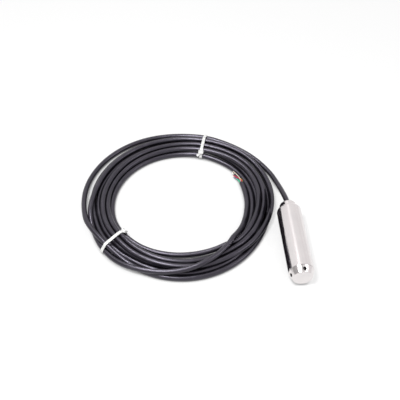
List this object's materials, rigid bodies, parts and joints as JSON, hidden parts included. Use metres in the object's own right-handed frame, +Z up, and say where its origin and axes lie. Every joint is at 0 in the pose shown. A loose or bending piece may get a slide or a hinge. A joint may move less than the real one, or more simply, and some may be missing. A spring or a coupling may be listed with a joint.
{
  "type": "submersible level transmitter",
  "caption": "Slim stainless probe with a slotted pressure nose, lying beside its tied coil of black vented cable with bare cores at the free end.",
  "frame": {"origin": "on the floor under the middle of the probe, which lies on its side", "axes": "+Z up; the probe lies along Y, nose towards -Y and cable gland towards +Y; the coil of cable lies on the -X side"},
  "size_m": [0.2554, 0.2472, 0.028],
  "materials": {
    "stainless_steel": "bright turned stainless steel",
    "stainless_steel_inner": "fine turned stainless steel",
    "gold_plate": "gold plated",
    "seal_rubber": "matte black rubber",
    "white_plastic": "white nylon",
    "black_plastic": "moulded black plastic",
    "circuit_board_laminate": "green solder mask",
    "tan_ceramic": "tan ceramic",
    "cable_sheath": "satin black sheath",
    "core_black": "black insulation",
    "core_yellow": "yellow insulation",
    "core_red": "red insulation",
    "core_blue": "pale grey-blue insulation",
    "core_green": "green insulation"
  },
  "bodies": {
    "probe": {"amplifier_chip": "black_plastic", "board_carrier_front": "black_plastic", "board_carrier_rear": "black_plastic", "cable_coil": "cable_sheath", "cable_lead": "cable_sheath", "cable_tail": "cable_sheath", "capacitor_1": "tan_ceramic", "capacitor_2": "tan_ceramic", "circuit_board": "circuit_board_laminate", "core_black": "core_black", "core_blue": "core_blue", "core_green": "core_green", "core_red": "core_red", "core_yellow": "core_yellow", "gland_nut": "stainless_steel", "gland_seal": "seal_rubber", "gland_washer": "stainless_steel_inner", "header_pin_1": "gold_plate", "header_pin_2": "gold_plate", "header_pin_3": "gold_plate", "header_pin_4": "gold_plate", "header_pin_5": "gold_plate", "holder_o_ring": "seal_rubber", "housing_tube": "stainless_steel", "inner_core_black": "core_black", "inner_core_blue": "core_blue", "inner_core_green": "core_green", "inner_core_red": "core_red", "inner_core_yellow": "core_yellow", "nose_seal_ring": "seal_rubber", "regulator_chip": "black_plastic", "sensor_backup_ring": "white_plastic", "sensor_capsule": "stainless_steel_inner", "sensor_diaphragm": "stainless_steel_inner", "sensor_holder": "stainless_steel_inner", "sensor_lead_1": "stainless_steel_inner", "sensor_lead_2": "stainless_steel_inner", "sensor_lead_3": "stainless_steel_inner", "sensor_lead_4": "stainless_steel_inner", "sensor_lead_5": "stainless_steel_inner", "sensor_lock_ring": "stainless_steel_inner", "sensor_o_ring": "seal_rubber", "surge_arrester": "tan_ceramic", "tie_lower": "white_plastic", "tie_upper": "white_plastic", "vent_tube": "white_plastic"},
    "nose_cap": {"nose_cap": "stainless_steel"}
  },
  "joints": [
    {"name": "nose_cap_unscrew", "type": "slide", "parent": "probe", "child": "nose_cap", "axis": [0, -1, 0], "range_m": [0, 0.016]}
  ]
}
